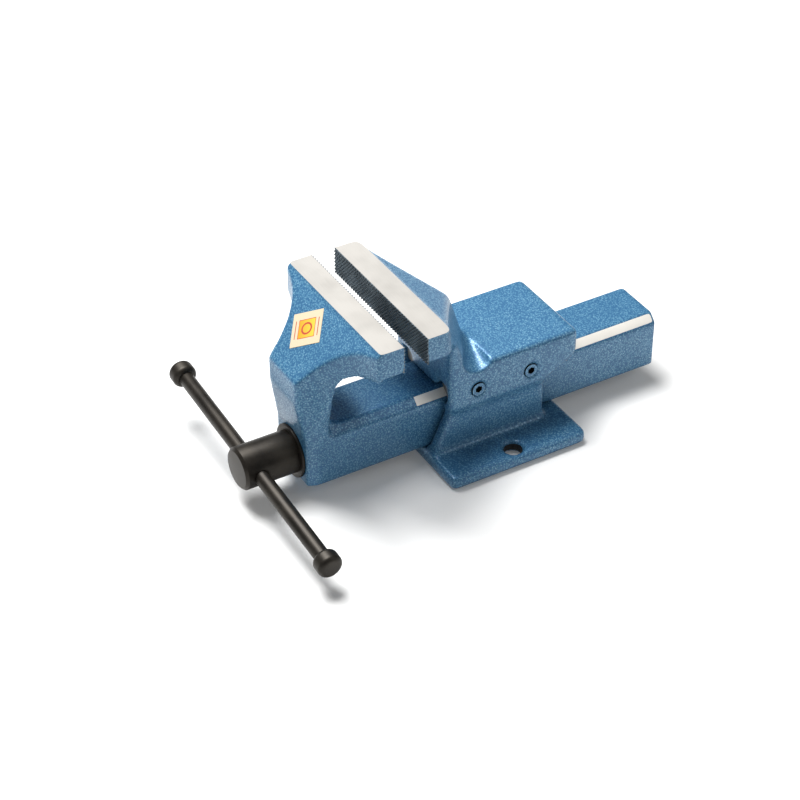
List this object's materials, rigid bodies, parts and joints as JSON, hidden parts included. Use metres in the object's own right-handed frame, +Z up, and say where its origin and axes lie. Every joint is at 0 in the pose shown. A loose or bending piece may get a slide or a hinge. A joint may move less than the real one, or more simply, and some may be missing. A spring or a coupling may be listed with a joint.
{
  "type": "bench vise",
  "caption": "Fixed-base bench vise with a forged moving jaw on a box slide, serrated gripping faces, an anvil block and a spindle turned by a sliding tommy bar.",
  "frame": {"origin": "middle of the two bench bolt holes, on the underside of the base plate", "axes": "+Y along the slide from the handle to the rear, +Z up from the bench, +X to the operator's right across the jaws"},
  "size_m": [0.2242, 0.328, 0.1358],
  "materials": {
    "blue_enamel": "hammered enamel, glossy",
    "black_steel": "blackened, satin",
    "ground_steel": "ground, satin",
    "zinc_steel": "zinc plated, satin",
    "grey_iron": "machined cast iron, oiled",
    "label_paper": "printed paper, matte"
  },
  "bodies": {
    "fixed_group": {"fixed_body": "blue_enamel", "gib_right": "ground_steel", "gib_left": "ground_steel", "spindle_nut": "grey_iron", "nut_screw_front": "zinc_steel", "nut_screw_rear": "zinc_steel", "nut_dowel_right": "ground_steel", "nut_dowel_left": "ground_steel", "gib_screw_right_front": "black_steel", "gib_screw_right_rear": "black_steel", "gib_screw_left_front": "black_steel", "gib_screw_left_rear": "black_steel"},
    "jaw_group": {"moving_jaw": "blue_enamel", "jaw_label": "label_paper"},
    "spindle_group": {"spindle": "black_steel", "thrust_washer": "black_steel", "retaining_collar": "zinc_steel", "collar_pin": "zinc_steel"},
    "bar_group": {"tommy_bar": "black_steel", "bar_knob_right": "black_steel", "bar_knob_left": "black_steel"}
  },
  "joints": [
    {"name": "jaw_slide", "type": "slide", "parent": "fixed_group", "child": "jaw_group", "axis": [0, -1, 0], "range_m": [-0.0164, 0.125]},
    {"name": "spindle_turn", "type": "hinge", "parent": "jaw_group", "child": "spindle_group", "pos_m": [0, -0.1452, 0.0295], "axis": [0, -1, 0], "range_deg": [-1190, 9010]},
    {"name": "bar_slide", "type": "slide", "parent": "spindle_group", "child": "bar_group", "axis": [0.9968, 0, -0.0793], "range_m": [-0.084, 0.084]}
  ],
  "couplings": [
    {"joint": "spindle_turn", "follows": "jaw_slide", "rad_per_m": 1256.6}
  ]
}
